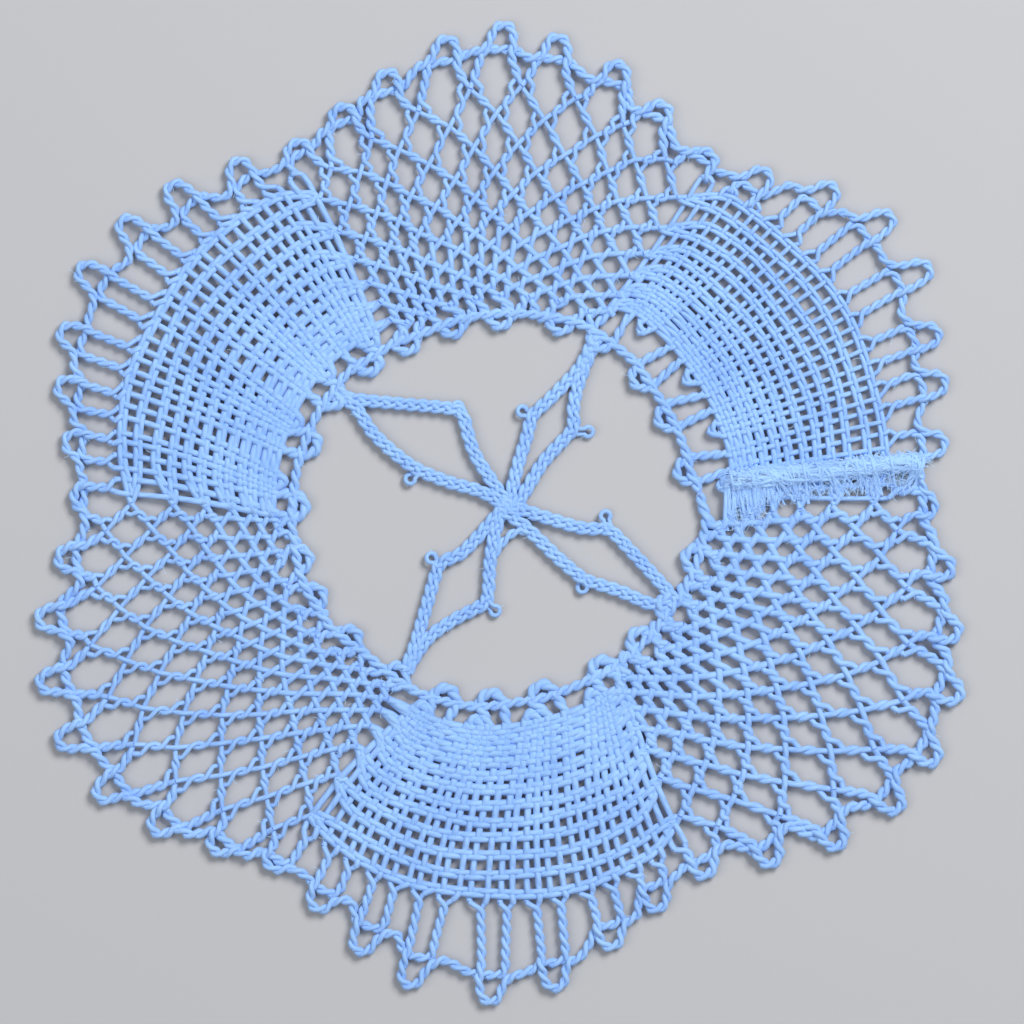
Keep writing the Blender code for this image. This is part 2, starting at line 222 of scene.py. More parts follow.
def twistedPair(path, startClear, endClear, beside=None):
    # two threads twisted round a path; each starts on one side of it, +1 left or -1 right
    beside = beside or thread["beside"]
    line = smoothed(path, 8)
    run = lengthsAlong(line)
    length = run[-1]

    def at(distance):
        return np.array([np.interp(distance, run, line[:, k]) for k in range(3)])

    free = length - startClear - endClear
    count = max(1, round(free / thread["halfTwist"]))
    stops = [startClear + free * i / count for i in range(count + 1)]
    pair = []
    for side in (1, -1):
        points = []
        for number, stop in enumerate(stops):
            points.append(at(stop) + np.array((0, 0, thread["lift"] if side < 0 else -thread["lift"])))
            side = -side
            if number < count:
                middle = (stop + stops[number + 1]) / 2
                ahead = at(middle + 0.05) - at(middle - 0.05)
                left = np.array((-ahead[1], ahead[0], 0)) / np.hypot(ahead[0], ahead[1])
                points.append(at(middle) + side * beside * left)
        pair.append({"points": points, "endSide": side})
    pair[0]["startSide"], pair[1]["startSide"] = 1, -1
    return pair


# net
def netSpot(g, row):
    # angle and radius of a crossing; rows further in lean sideways, most of all in a fan's middle
    number = math.floor(g / 8)
    if fans[number % len(fans)]["ground"] == "cloth" and not (g > 8 * number):
        number -= 1
    fan, u = fans[number % len(fans)], g - 8 * number
    table = netRows[row]
    middle = 2 * u / 8 - 1
    start, centre, end = fan["spread"]
    weight = centre + ((end if middle > 0 else start) - centre) * abs(middle) ** 1.3
    start, centre, end = fan["lean"]
    share = table["share"] + weight * (table["atEnd"] - table["share"])
    lean = centre + ((end if middle > 0 else start) - centre) * abs(middle) ** 1.5
    angle = pinAngle(g) + table["lean"] * lean + (1 - table["lean"]) * fan["shift"]
    radius = bandRadius(angle, share)
    wander = netWander * share * math.sin(360 * math.sin(7.0 * g + 3.0 * row))
    return angle, radius + wander


def netNode(g, row, side=0.0, lift=0.0):
    angle, radius = netSpot(g, row)
    return place(angle, radius, side, 0, lift)


def crossingPoint(g, row, heading, role):
    # a thread's place at a crossing that it leaves downwards: the outer threads pass beside the
    # crossing, and the inner ones cross left over right
    if role == "outer":
        return netNode(g, row, heading * netRows[row]["half"])
    return netNode(g, row, 0, heading * thread["lift"])


def legPoints(g, row, heading, role):
    start, end = netNode(g, row), netNode(g + heading / 2, row + 1)
    run = end - start
    left = np.array((-run[1], run[0], 0)) / np.hypot(run[0], run[1])
    side = -heading if role == "outer" else heading
    twists = netRows[row]["twists"]
    points = []
    for number, share in enumerate(twists):
        points.append(start + share * run + np.array((0, 0, thread["lift"] if side < 0 else -thread["lift"])))
        side = -side
        if number + 1 < len(twists):
            middle = (share + twists[number + 1]) / 2
            points.append(start + middle * run + side * thread["beside"] * left)
    return points, ("outer" if side == heading else "inner")


outerNeighbours = {}   # what lies beyond the net's or the cloth's ends, so that threads run on
lastRow = len(netRows) - 1


def walkNet(piece, first, g, row, heading, role, before):
    # follow one thread down the net until it leaves the fan or reaches the footside
    points = [crossingPoint(g, row, heading, role)]
    width = fans[first // 8]["thread"]
    while row < lastRow:
        leg, arrival = legPoints(g, row, heading, role)
        points += leg
        g, row = g + heading / 2, row + 1
        atBoundary = g in (first, first + 8)
        if arrival == "outer":
            heading, role = -heading, "outer"
            points.append(crossingPoint(g, row, heading, role))
        else:
            role = "inner"
            points.append(crossingPoint(g, row, heading, role))
            if atBoundary and (heading > 0) == (g == first + 8):
                return addStrand(piece, points, before, clothEnd(g, row, heading), radius=width)
    addStrand(piece, points, before, turnStart(g, heading, role), radius=width)


def clothEnd(g, row, heading):
    # the first point, in the cloth beyond a boundary, of the thread that leaves the net there
    return passivePoint(g, row - 1, 1, 0.125 * heading)


def clothSource(g, row, heading):
    return passivePoint(g, row - 2, 0, -0.125 * heading)


def buildNet(index):
    first, piece = 8 * index, "net%d" % index
    for pin in range(8):
        g = first + pin + 0.5
        for heading, role in ((-1, "outer"), (1, "inner"), (-1, "inner"), (1, "outer")):
            # each thread's last point above the first row
            arrived = heading if role == "inner" else -heading
            above = outerNeighbours[(g, arrived, role)]
            walkNet(piece, first, g, 1, heading, role, above)
    for row in range(2, lastRow, 2):
        walkNet(piece, first, first, row, 1, "inner", clothSource(first, row, 1))
        walkNet(piece, first, first + 8, row, -1, "inner", clothSource(first + 8, row, -1))


# cloth
def passiveRadius(first, u, k):
    # the pair's radius; the pairs draw together by twos towards the fan's ends
    g = first + u
    fan = fans[first // 8 % len(fans)]
    angle = pinAngle(g)
    top = clothRadius(first, u)
    low = clothFan["shares"][-1]
    share = fan["innermost"] + (clothFan["shares"][k] - low) / (1 - low) * (1 - fan["innermost"])
    inner = innerRadius(angle)
    radius = inner + share * (top - inner)
    node = netSpot(first if u < 4 else first + 8, 2 * (k // 2) + 2)[1]
    fromEnd = min(u, 8 - u) / 0.9
    weight = math.sin(math.pi / 2 * min(1, fromEnd))
    wave = clothFan["wander"] * share * math.sin(1.9 * u + 360 * math.sin(17.0 * k + first))
    return node + weight * (radius + wave - node)


def columnAngle(first, column, radius):
    # the weaver's threads are evenly spaced outside and draw together towards their turn
    u = 8 * (column + 0.5) / clothFan["columns"]
    fan = fans[first // 8 % len(fans)]
    start, end = pinAngle(first), pinAngle(first + 8)
    even = start + (end - start) * u / 8
    outerAngle = pinAngle(first + u) + clothFan["even"] * (even - pinAngle(first + u)) * min(1, u, 8 - u)
    outerAngle += clothFan["passWander"] * math.sin(360 * math.sin(13.0 * column + first))
    turn = fan["turns"][column // 4]
    half = clothFan["halfTurns"][column // 4 % 2] * (1 if column % 4 > 1 else -1)
    innerAngle = turn + half + (0.55 if column % 2 else -0.55)
    top = clothRadius(first, u)
    t = min(1, max(0, (top - radius) / (top - innerRadius(turn) - 1)))
    return outerAngle + (innerAngle - outerAngle) * t ** clothFan["bunching"]


def passivePoint(boundary, k, member, away):
    # one thread of a passive pair, at the first or the last column of the cloth beside a boundary
    first = 8 * math.floor((boundary + away) / 8)
    u = boundary + away - first
    first %= pinCount
    column = 0 if away > 0 else clothFan["columns"] - 1
    radius = passiveRadius(first, u, k) + (clothFan["gap"] if member == 0 else -clothFan["gap"])
    over = (column + 2 * k + member) % 2 == 0
    angle = columnAngle(first, column, radius)
    return place(angle, radius, 0, 0, thread["lift"] if over else -thread["lift"])


def buildCloth(index):
    first, piece = 8 * index, "cloth%d" % index
    columns = clothFan["columns"]
    us = [8 * (c + 0.5) / columns for c in range(columns)]
    crossings = {}     # (column, threadNumber) -> (angle, radius)
    passives = []
    for k in range(12):
        for member in (0, 1):
            number = 2 * k + member
            points = []
            for c, u in enumerate(us):
                radius = passiveRadius(first, u, k) + (clothFan["gap"] if member == 0 else -clothFan["gap"])
                angle = columnAngle(first, c, radius)
                crossings[(c, number)] = (angle, radius)
                over = (c + number) % 2 == 0
                points.append(place(angle, radius, 0, 0, thread["lift"] if over else -thread["lift"]))
            passives.append(points)
    for j in range(6):
        row = 2 * j + 2
        upper, inner, outer, lower = (passives[4 * j + i] for i in range(4))
        half = netRows[row]["half"]
        # the two middle threads meet beside the boundary's crossing, the other two go through it
        startLoop, endLoop = netNode(first, row, half), netNode(first + 8, row, -half)
        width = fans[index]["thread"]
        addStrand(piece, [startLoop] + inner + [endLoop], outer[0], outer[-1], 2, width)
        addStrand(piece, [startLoop] + outer + [endLoop], inner[0], inner[-1], 2, width)
        startNode, endNode = netNode(first, row), netNode(first + 8, row)
        lift = np.array((0, 0, thread["lift"]))
        below, above = legBeyond(first, row, -1, 1), legBeyond(first, row, -1, -1)
        belowEnd, aboveEnd = legBeyond(first + 8, row, 1, 1), legBeyond(first + 8, row, 1, -1)
        addStrand(piece, [startNode - lift] + upper + [endNode + lift], below, belowEnd, 2, width)
        addStrand(piece, [startNode + lift] + lower + [endNode - lift], above, aboveEnd, 2, width)
    for k in range(8):
        buildTurn(piece, first, k, crossings)


def legBeyond(g, row, towards, down):
    # the nearest point of the net's leg beyond a boundary crossing, above or below it
    if down > 0:
        return legPoints(g, row, towards, "inner")[0][0]
    return legEnd(g, row, -towards, "inner")


def legEnd(g, row, heading, arrival):
    # last point above a crossing, of the thread that arrives there in this role
    for role in ("outer", "inner"):
        points, became = legPoints(g - heading / 2, row - 1, heading, role)
        if became == arrival:
            return points[-1]


def buildTurn(piece, first, k, crossings):
    # the weaver's pair goes in along one pass, turns, and comes out along the next
    fan = fans[first // 8 % len(fans)]
    columns = [4 * k, 4 * k + 1, 4 * k + 2, 4 * k + 3]
    lines = []
    for c in columns:
        line = []
        for number in range(24):
            angle, radius = crossings[(c, number)]
            over = (c + number) % 2 == 1
            line.append(place(angle, radius, 0, 0, thread["lift"] if over else -thread["lift"]))
        lines.append(line)
    inAngle = (crossings[(columns[0], 23)][0] + crossings[(columns[1], 23)][0]) / 2
    outAngle = (crossings[(columns[2], 23)][0] + crossings[(columns[3], 23)][0]) / 2
    lowest = min(crossings[(c, 23)][1] for c in columns) - 0.3
    turn = fan["turns"][k]
    rim = innerRadius(turn)
    if k % 2 == 0:
        depth = clothFan["deepHook" if lowest - rim > 3 else "hook"]
        path = [place(inAngle, lowest), place(inAngle + 0.3, lowest - 0.6 * depth),
                place((inAngle + outAngle) / 2, lowest - depth),
                place(outAngle - 0.3, lowest - 0.6 * depth), place(outAngle, lowest)]
    else:
        path = turnPath(("cloth", first, k), turn, place(inAngle, lowest), place(outAngle, lowest))
    clear = clothFan["turnClear"][k % 2]
    for strand in twistedPair(path, clear, clear):
        # facing inwards, the left thread is the clockwise one
        down = lines[0] if strand["startSide"] > 0 else lines[1]
        up = lines[3] if strand["endSide"] > 0 else lines[2]
        c = columns[0] if strand["startSide"] > 0 else columns[1]
        d = columns[3] if strand["endSide"] > 0 else columns[2]
        foot = (barFoot(first, c), barFoot(first, d))
        points = [foot[0]] + down + strand["points"] + up[::-1] + [foot[1]]
        addStrand(piece, points, outerNeighbours.get((first, c)), outerNeighbours.get((first, d)), 2,
                  fan["thread"])


def barFoot(first, column):
    # where a bar's thread enters the cloth
    u = 8 * (column + 0.5) / clothFan["columns"]
    return place(pinAngle(first + u), clothRadius(first, u) + clothFan["gap"] + clothFan["foot"])


def clothTop(first, column):
    u = 8 * (column + 0.5) / clothFan["columns"]
    radius = clothRadius(first, u) + clothFan["gap"]
    return place(columnAngle(first, column, radius), radius, 0, 0,
                 thread["lift"] if column % 2 else -thread["lift"])


def barTop(g):
    first = 8 * math.floor(g / 8)
    return clothRadius(first, g - first)


# footside: each inner turn goes round under the inner edge line, as a small picot or plainly
innerTurn = {"picot": ((-1.2, 0.2), (-1.12, -0.35), (-0.66, -1.02), (0.0, -1.27), (0.66, -1.02), (1.12, -0.35),
                       (1.2, 0.2)),
             "plain": ((-0.55, 0.35), (-0.27, -0.1), (0.0, -0.26), (0.27, -0.1), (0.55, 0.35)),
             # how low it passes under the line, within this reach of it
             "under": -0.14, "reach": 0.36,
             # at a fan's end it runs along the footside: degrees away, and out from the line
             "alongside": ((2.4, 0.3), (4.5, 0.02), (8, 0.02)), "alongsideLift": -0.1,
             # how much of its ends is left untwisted, at a crossing and in the open
             "clear": 0.72, "openClear": 0.1}


def footTurns():
    # where the pairs turn round the inner edge line
    turns = {}
    for number, fan in enumerate(fans):
        if fan["ground"] == "net":
            for pin in range(1, 8):
                turns[8 * number + pin] = netSpot(8 * number + pin, lastRow)[0]
        else:
            for k in (1, 3, 5, 7):
                turns[("cloth", 8 * number, k)] = fan["turns"][k]
    return turns


def sharePins():
    # each inner picot is made at the nearest turn
    turns = footTurns()
    found = {}
    for pin in innerPins:
        key = min((key for key in turns if key not in found), key=lambda key: abs(apart(pin, turns[key])))
        found[key] = pin
    return found


pinOfTurn = sharePins()


def turnPath(key, turn, start, end):
    # down a bar, round under the inner edge line, and up again
    centre = pinOfTurn.get(key, turn)
    path = [start]
    for side, out in innerTurn["picot" if key in pinOfTurn else "plain"]:
        lift = innerTurn["under"] if abs(out) < innerTurn["reach"] else 0
        path.append(place(centre, innerRadius(centre), side, out, lift))
    return path + [end]


turnCache = {}


def netTurn(g):
    # the pair between two crossings of the net's last row, round the footside between them
    if g not in turnCache:
        if g % 8:
            angle = netSpot(g, lastRow)[0]
            path = turnPath(g, angle, netNode(g - 0.5, lastRow), netNode(g + 0.5, lastRow))
            turnCache[g] = twistedPair(path, innerTurn["clear"], innerTurn["clear"])
        else:
            # at a fan's end the pair runs along the footside instead
            towards = 1 if fanAt(g)["ground"] == "net" else -1
            angle = netSpot(g + 0.5 * towards, lastRow)[0]
            path = [netNode(g + 0.5 * towards, lastRow)]
            for away, out in innerTurn["alongside"]:
                at = angle - away * towards
                path.append(place(at, innerRadius(at), 0, out, innerTurn["alongsideLift"]))
            clears = (innerTurn["clear"], innerTurn["openClear"])
            if towards > 0:
                path.reverse()
                clears = clears[::-1]
            turnCache[g] = twistedPair(path, *clears)
    return turnCache[g]


def turnStart(g, heading, role):
    # first point below a crossing of the last row
    side = -1 if role == "outer" else 1
    if heading > 0:
        return next(s["points"][0] for s in netTurn(g + 0.5) if s["startSide"] == side)
    return next(s["points"][-1] for s in netTurn(g - 0.5) if s["endSide"] == side)


def buildNetTurns(index):
    first, piece = 8 * index, "net%d" % index
    for g in range(first, first + 9):
        for strand in netTurn(g):
            points, before, after = strand["points"], None, None
            if g > first:
                role = "outer" if strand["startSide"] < 0 else "inner"
                points = [crossingPoint(g - 0.5, lastRow, 1, role)] + points
                before = legEnd(g - 0.5, lastRow, -1 if role == "outer" else 1, role)
            if g < first + 8:
                role = "outer" if strand["endSide"] < 0 else "inner"
                points = points + [crossingPoint(g + 0.5, lastRow, -1, role)]
                after = legEnd(g + 0.5, lastRow, 1 if role == "outer" else -1, role)
            addStrand(piece, points, before, after, radius=fans[index]["thread"])


# outer edge: each pair comes up beside a pin, makes the picot's loop over the edge line, runs along to
# the next pin and goes down beyond it
edge = {"beside": 0.95, "under": -0.12,     # beside is in radii of the fan's edge thread
        # from a picot's outside to the middle of its pair, and where the line is fixed between two pins
        "outside": 0.85, "between": 0.68,
        # how much of a pair's ends is left untwisted, at a net crossing and at the cloth
        "netClear": 0.95, "clothClear": 0.1,
        # sideways of the pin, where a pair comes up and where it goes down again, in cloth and in net
        "cloth": {"up": -1.0, "down": 1.35, "enter": 0.19, "leave": 0.26}, "net": {"up": -0.95, "down": 1.95},
        # the loop: sideways, share of its height, lift; its last points flare by chance
        "loop": ((-1.15, 0.05, 0.3), (-1.06, 0.42, 0.14), (-0.94, 0.72, 0), (-0.62, 0.93, 0), (-0.05, 1.0, 0),
                 (0.52, 0.93, 0), (0.88, 0.72, 0), (1.04, 0.45, 0.05)),
        "flare": ((1.22, 0.2, 0.1), (1.75, 0.04, 0.15), (2.4, 0.0, 0.12))}


def buildEdge():
    for n in range(pinCount):
        angle, radius = pinAngle(n), edgeRadius(pinAngle(n))
        peak = fanAt(n)["heights"][n % 8] - edge["outside"]
        nextAngle, nextRadius = pinAngle(n + 1), edgeRadius(pinAngle(n + 1))
        fromNet = fanAt(n - 0.5)["ground"] == "net"
        toNet = fanAt(n + 1.5)["ground"] == "net"
        width = fanAt(n)["edgeThread"]
        up, down = edge["net" if fromNet else "cloth"]["up"], edge["net" if toNet else "cloth"]["down"]
        if fromNet:
            path = [netNode(n - 0.5, 1), place(angle, radius, up - 0.25, -1.3)]
        else:
            enter = n - edge["cloth"]["enter"]
            path = [place(pinAngle(enter), barTop(enter) + 1.3), place(angle, radius, up, -1.5)]
        path.append(place(angle, radius, up, -0.5, 0.15))
        lean, flare = 0.5 * chance.random() - 0.3, chance.random()
        for side, share, lift in edge["loop"]:
            path.append(place(angle, radius, side + lean * share, share * peak, lift))
        for side, share, lift in edge["flare"]:
            path.append(place(angle, radius, side + 0.3 * flare * side ** 0.5, share * peak, lift))
        between = pinAngle(n + edge["between"])
        path.append(place(between, edgeRadius(between), 0, 0, -0.05))
        for side, out in ((-1.2, 0.02), (-0.3, 0.1), (down - 0.8, 0.08), (down - 0.2, -0.1)):
            path.append(place(nextAngle, nextRadius, side, out, edge["under"]))
        path.append(place(nextAngle, nextRadius, down, -0.6))
        if toNet:
            path += [place(nextAngle, nextRadius, down + 0.25, -1.25), netNode(n + 1.5, 1)]
        else:
            leave = n + 1 + edge["cloth"]["leave"]
            path += [place(nextAngle, nextRadius, down, -1.5), place(pinAngle(leave), barTop(leave) + 1.3)]
        pair = twistedPair(path, edge["netClear" if fromNet else "clothClear"],
                           edge["netClear" if toNet else "clothClear"], beside=edge["beside"] * width)
        for strand in pair:
            points = strand["points"]
            if fromNet:
                g = (n - 0.5) % pinCount
                role = "outer" if strand["startSide"] > 0 else "inner"
                leaving = 1 if role == "outer" else -1
                start = crossingPoint(g, 1, leaving, role)
                before = legPoints(g, 1, leaving, role)[0][0]
                outerNeighbours[(g, -1, role)] = points[0]
            else:
                g = (n - 0.25) % pinCount
                first = 8 * int(g // 8)
                column = int((g - first) * 4 + (0 if strand["startSide"] > 0 else -1))
                start = barFoot(first, column)
                outerNeighbours[(first, column)] = points[0]
                before = clothTop(first, column)
            if toNet:
                g = (n + 1.5) % pinCount
                role = "outer" if strand["endSide"] > 0 else "inner"
                leaving = -1 if role == "outer" else 1
                end = crossingPoint(g, 1, leaving, role)
                after = legPoints(g, 1, leaving, role)[0][0]
                outerNeighbours[(g, 1, role)] = points[-1]
            else:
                g = (n + 1.25) % pinCount
                first = 8 * int(g // 8)
                column = int((g - first) * 4 + (-1 if strand["endSide"] > 0 else 0))
                end = barFoot(first, column)
                outerNeighbours[(first, column)] = points[-1]
                after = clothTop(first, column)
            addStrand("edge", [start] + points + [end], before, after, radius=width)


innerEdge = {"start": 4.6, "step": 3, "out": 0.05, "beside": 0.27, "wider": 1.12}


def buildInnerEdge():
    angles = [innerEdge["start"] + turn for turn in range(0, 361, innerEdge["step"])]
    path = [place(angle, innerRadius(angle), 0, innerEdge["out"]) for angle in angles]
    for strand in twistedPair(path, 0.1, 0.1, beside=innerEdge["beside"]):
        addStrand("innerEdge", strand["points"], radius=innerEdge["wider"] * thread["radius"])


# the cross of plaits
cross = {"beside": (0.14, 0.42), "step": 0.58, "loop": 0.46, "picotThread": 0.9,
         "plaits": (
             ((8.6, 16.4), (8.0, 15.0), (7.0, 13.2), (5.6, 11.7), (4.0, 10.1), (2.75, 8.95), (2.5, 8.5),
              (2.05, 6.7), (1.3, 4.3), (0.5, 1.2), (0.0, -0.3)),
             ((8.8, 16.3), (8.3, 15.2), (7.5, 13.2), (6.9, 11.5), (6.5, 9.4), (6.5, 7.7), (6.2, 7.15),
              (5.2, 6.1), (3.6, 4.3), (1.7, 1.2), (0.5, -0.4)),
             ((-16.2, 10.8), (-14.7, 10.4), (-10.0, 9.9), (-5.0, 9.4), (-4.2, 9.1), (-3.9, 8.5), (-3.4, 6.6),
              (-2.8, 5.0), (-1.2, 2.5), (0.4, 0.2)),
             ((-16.1, 10.5), (-14.5, 9.9), (-12.6, 7.2), (-10.0, 4.8), (-8.5, 3.75), (-8.0, 3.5), (-5.2, 2.4),
              (-2.4, 1.6), (-0.9, 0.8), (0.9, -0.1)),
             ((-9.6, -15.6), (-8.7, -13.5), (-7.7, -10.2), (-6.6, -6.4), (-6.3, -5.5), (-5.9, -5.1), (-4.3, -4.4),
              (-2.8, -3.0), (-1.4, -1.4), (0.2, 0.5)),
             ((-9.3, -15.5), (-8.4, -13.9), (-7.1, -12.2), (-4.8, -10.6), (-2.3, -9.3), (-1.8, -8.9), (-1.6, -8.1),
              (-1.4, -4.9), (-1.0, -2.6), (-0.2, 0.1)),
             ((16.2, -8.9), (15.3, -7.7), (14.3, -6.6), (11.5, -3.6), (10.2, -2.3), (9.7, -2.0), (7.6, -1.95),
              (4.8, -1.2), (1.8, -0.2), (-0.3, 0.6)),
             ((16.0, -9.3), (13.8, -9.1), (10.9, -7.9), (7.6, -6.8), (7.0, -6.4), (5.2, -4.9), (2.9, -2.7),
              (1.2, -1.2), (-0.3, -0.2)),
         ),
         # the small picot at each plait's bend: where it starts and its middle
         "picots": (((2.5, 8.75), (1.65, 9.2)), ((6.6, 7.3), (7.9, 7.25)), ((-4.1, 8.9), (-4.5, 9.6)),
                    ((-8.2, 3.5), (-9.0, 2.75)), ((-6.2, -5.4), (-7.0, -4.75)), ((-1.8, -9.0), (-0.95, -9.75)),
                    ((9.8, -1.9), (9.55, -0.75)), ((7.2, -6.6), (7.35, -7.55))),
         # the pair that runs on from one plait to the next, beside the small gap at the middle
         "link": ((2.4, -2.3), (1.4, -2.15), (0.6, -2.5), (-0.3, -3.4), (-1.2, -4.8))}


def spotAt(x, y, lift=0.0):
    return np.array((ring["centre"][0] + x, ring["centre"][1] + y, thread["level"] + lift))


def plait(piece, path):
    # four threads: the middle two cross, then the outer two on each side twist, over and over
    line = smoothed([spotAt(x, y) for x, y in path], 8)
    run = lengthsAlong(line)
    steps = round(run[-1] / cross["step"])
    near, far = cross["beside"]
    lanes = (far, near, -near, -far)
    order = [0, 1, 2, 3]
    tracks = [[] for _ in order]

    def at(distance, side, lift):
        return besideLine(line, run, distance, side, lift, 0.1)

    for lane, which in enumerate(order):
        tracks[which].append(at(0, lanes[lane], 0))
    for step in range(steps):
        distance = run[-1] * (step + 0.5) / steps
        swaps = ((1, 2, 1),) if step % 2 == 0 else ((0, 1, -1), (2, 3, -1))
        moved = set()
        for a, b, leftOver in swaps:
            middle = (lanes[a] + lanes[b]) / 2
            tracks[order[a]].append(at(distance, middle, leftOver * thread["lift"]))
            tracks[order[b]].append(at(distance, middle, -leftOver * thread["lift"]))
            order[a], order[b] = order[b], order[a]
            moved |= {a, b}
        for lane in range(4):
            if lane not in moved:
                tracks[order[lane]].append(at(distance, lanes[lane] * 1.06, 0))
    for lane, which in enumerate(order):
        tracks[which].append(at(run[-1], lanes[lane], 0))
    for track in tracks:
        addStrand(piece, track, steps=3)


def buildCross():
    for path in cross["plaits"]:
        plait("cross", path)
    for (baseX, baseY), (x, y) in cross["picots"]:
        along = np.array((x - baseX, y - baseY)) / math.hypot(x - baseX, y - baseY)
        across = np.array((-along[1], along[0]))
        loop = cross["loop"]
        points = [spotAt(baseX, baseY, -0.15) - np.append(0.3 * across, 0)]
        for degrees in range(-145, 146, 29):
            turn = math.radians(degrees)
            spot = np.array((x, y)) + loop * (math.cos(turn) * along + math.sin(turn) * across)
            points.append(spotAt(spot[0], spot[1], 0.2 * degrees / 145 - 0.1))
        points.append(spotAt(baseX, baseY, 0.2) + np.append(0.3 * across, 0))
        addStrand("cross", points, radius=cross["picotThread"] * thread["radius"])
    for strand in twistedPair([spotAt(x, y) for x, y in cross["link"]], 0.1, 0.1):
        addStrand("cross", strand["points"])


# the join, where the end is sewn to the start: the knotted pairs lie together in a low ridge,
# bound by stitches, and their cut ends are fuzzy
join = {"line": ((21.2, 2.6), (24.0, 2.85), (28.0, 3.2), (32.0, 3.6), (36.0, 4.1), (38.6, 4.2), (40.2, 3.4)),
        "width": 0.75, "height": 0.4, "cords": 10, "bends": 14,
        "stitches": 60, "stitchRadius": (0.09, 0.2), "patch": 26, "patchRadius": (0.14, 0.23),
        "fuzz": 1700, "fuzzRadius": (0.013, 0.026), "fuzzLength": (0.5, 1.3)}


def buildJoin():
    line = smoothed([spotAt(x, y, 0.5) for x, y in join["line"]], 12)
    run = lengthsAlong(line)

    def at(distance, side=0.0, lift=0.0):
        return besideLine(line, run, distance, side, lift, 0.2)

    for cord in range(join["cords"]):
        turn = 2 * math.pi * cord / join["cords"]
        start, end = chance.uniform(0.2, 1.0), run[-1] - chance.uniform(0.2, 1.4)
        points = []
        for i in range(join["bends"] + 1):
            distance = start + (end - start) * i / join["bends"]
            wander = turn + 2.2 * distance / run[-1] + chance.uniform(-0.45, 0.45)
            points.append(at(distance, join["width"] * math.cos(wander) * chance.uniform(0.7, 1.05),
                             join["height"] * math.sin(wander)))
        addStrand("join", points, steps=3)
    # stitches over the ridge, down into the net on its clockwise side
    for i in range(join["stitches"]):
        distance = chance.uniform(0.3, run[-1] - 0.4)
        slant = chance.gauss(0.3, 0.55)
        depth = -1.5 - 1.4 * chance.random()
        points = [at(distance - slant, 1.1, -0.6), at(distance - 0.5 * slant, 0.75, 0.2),
                  at(distance, 0.1, chance.uniform(0.45, 0.65)), at(distance + 0.3 * slant, -0.75, 0.2),
                  at(distance + 0.6 * slant, 0.6 * depth, -0.25), at(distance + slant, depth, -0.45)]
        addStrand("join", points, steps=3, radius=chance.uniform(*join["stitchRadius"]))
    # a patch of closer stitches where the inner edge is joined
    for i in range(join["patch"]):
        x = 21.0 + 4.4 * i / join["patch"] + chance.uniform(-0.15, 0.15)
        slant = chance.uniform(-0.4, 0.9)
        low = -1.9 + 0.5 * (x - 21) + chance.uniform(-0.4, 0.3)
        points = [spotAt(x, 2.7, 0.5), spotAt(x + 0.1 * slant, 1.9, chance.uniform(0.25, 0.5)),
                  spotAt(x + 0.5 * slant, 0.5 * (1.9 + low), chance.uniform(0.15, 0.45)),
                  spotAt(x + slant, low, -0.2)]
        addStrand("join", points, steps=3, radius=chance.uniform(*join["patchRadius"]))
    for i in range(join["fuzz"]):
        distance = run[-1] * (0.01 + 0.95 * chance.random())
        side = 0.85 - 2.9 * chance.random() ** 1.5
        if i % 7 == 0:
            distance, side = chance.uniform(-0.1, 3.2), chance.uniform(-4.2, 0.5)
        if side > -0.7 or i % 3 == 0:
            heading = chance.choice((0.1, 3.24)) + chance.gauss(0, 0.3)
        else:
            heading = -1.6 + chance.gauss(0, 0.5)
        length = chance.uniform(*join["fuzzLength"])
        spot = at(distance, side, 0.6 * (1 - (side / 0.9) ** 2) if side > -0.9 else chance.uniform(-0.3, 0.1))
        points = [spot]
        for step in range(3):
            heading += chance.uniform(-0.45, 0.45)
            spot = spot + length / 3 * np.array((math.cos(heading), math.sin(heading), 0))
            spot[2] = max(0.1, spot[2] + chance.uniform(-0.1, 0.1))
            points.append(spot)
        addStrand("joinFuzz", points, steps=1, radius=chance.uniform(*join["fuzzRadius"]))


# a short fine fibre stands out from a thread here and there
hairs = {"count": 900, "length": (0.35, 0.95), "radius": 0.02}


def buildHairs():
    laid = [points for name in sorted(strands) if name not in ("join", "joinFuzz")
            for points, width in strands[name]]
    for i in range(hairs["count"]):
        points = chance.choice(laid)
        spot = points[chance.randrange(len(points))] + np.array((0, 0, 0.5 * thread["radius"]))
        heading, length = chance.uniform(-math.pi, math.pi), chance.uniform(*hairs["length"])
        line = [spot]
        for step in range(3):
            heading += chance.uniform(-0.7, 0.7)
            spot = spot + length / 3 * np.array((math.cos(heading), math.sin(heading), chance.uniform(-0.15, 0.25)))
            line.append(spot)
        addStrand("hairs", line, steps=1, radius=hairs["radius"])


# materials: the twist is one node group, and each material has its own values for it
# seamPaintedShade is how much darker the groove of the seam is painted, as painted shade
twist = {"blotchScale": 260, "fibreScale": 9000, "seamPaintedShade": 0.25, "seamHeight": 0.45, "depth": 0.00006}
looks = {"laceThread": {"dark": (0.21, 0.40, 0.83), "light": (0.33, 0.56, 0.95), "sheen": 0.25, "relief": 0.7},
         # painted highlight: the ridge of the join is given paler colours, as it catches more light because its
         # threads lie close
         "joinThread": {"dark": (0.26, 0.47, 0.89), "light": (0.38, 0.62, 0.98), "sheen": 0.25, "relief": 0.5},
         # single fibres: painted light, paler still to make up for the shade that thin fibres fall into, and almost
         # without relief
         "fuzzThread": {"dark": (0.42, 0.66, 1.0), "light": (0.51, 0.74, 1.0), "sheen": 0.05, "relief": 0.05}}
for look in looks.values():
    look["sockets"] = {"Twist Length": 1.5, "Blotches": 0.9, "Fibres": 0.8}
    look["roughness"] = 0.85
lookOf = {"join": "joinThread", "joinFuzz": "fuzzThread", "hairs": "fuzzThread"}


def addNode(tree, kind, **values):
    node = tree.nodes.new(kind)
    for socket, value in values.items():
        node.inputs[socket].default_value = value
    return node


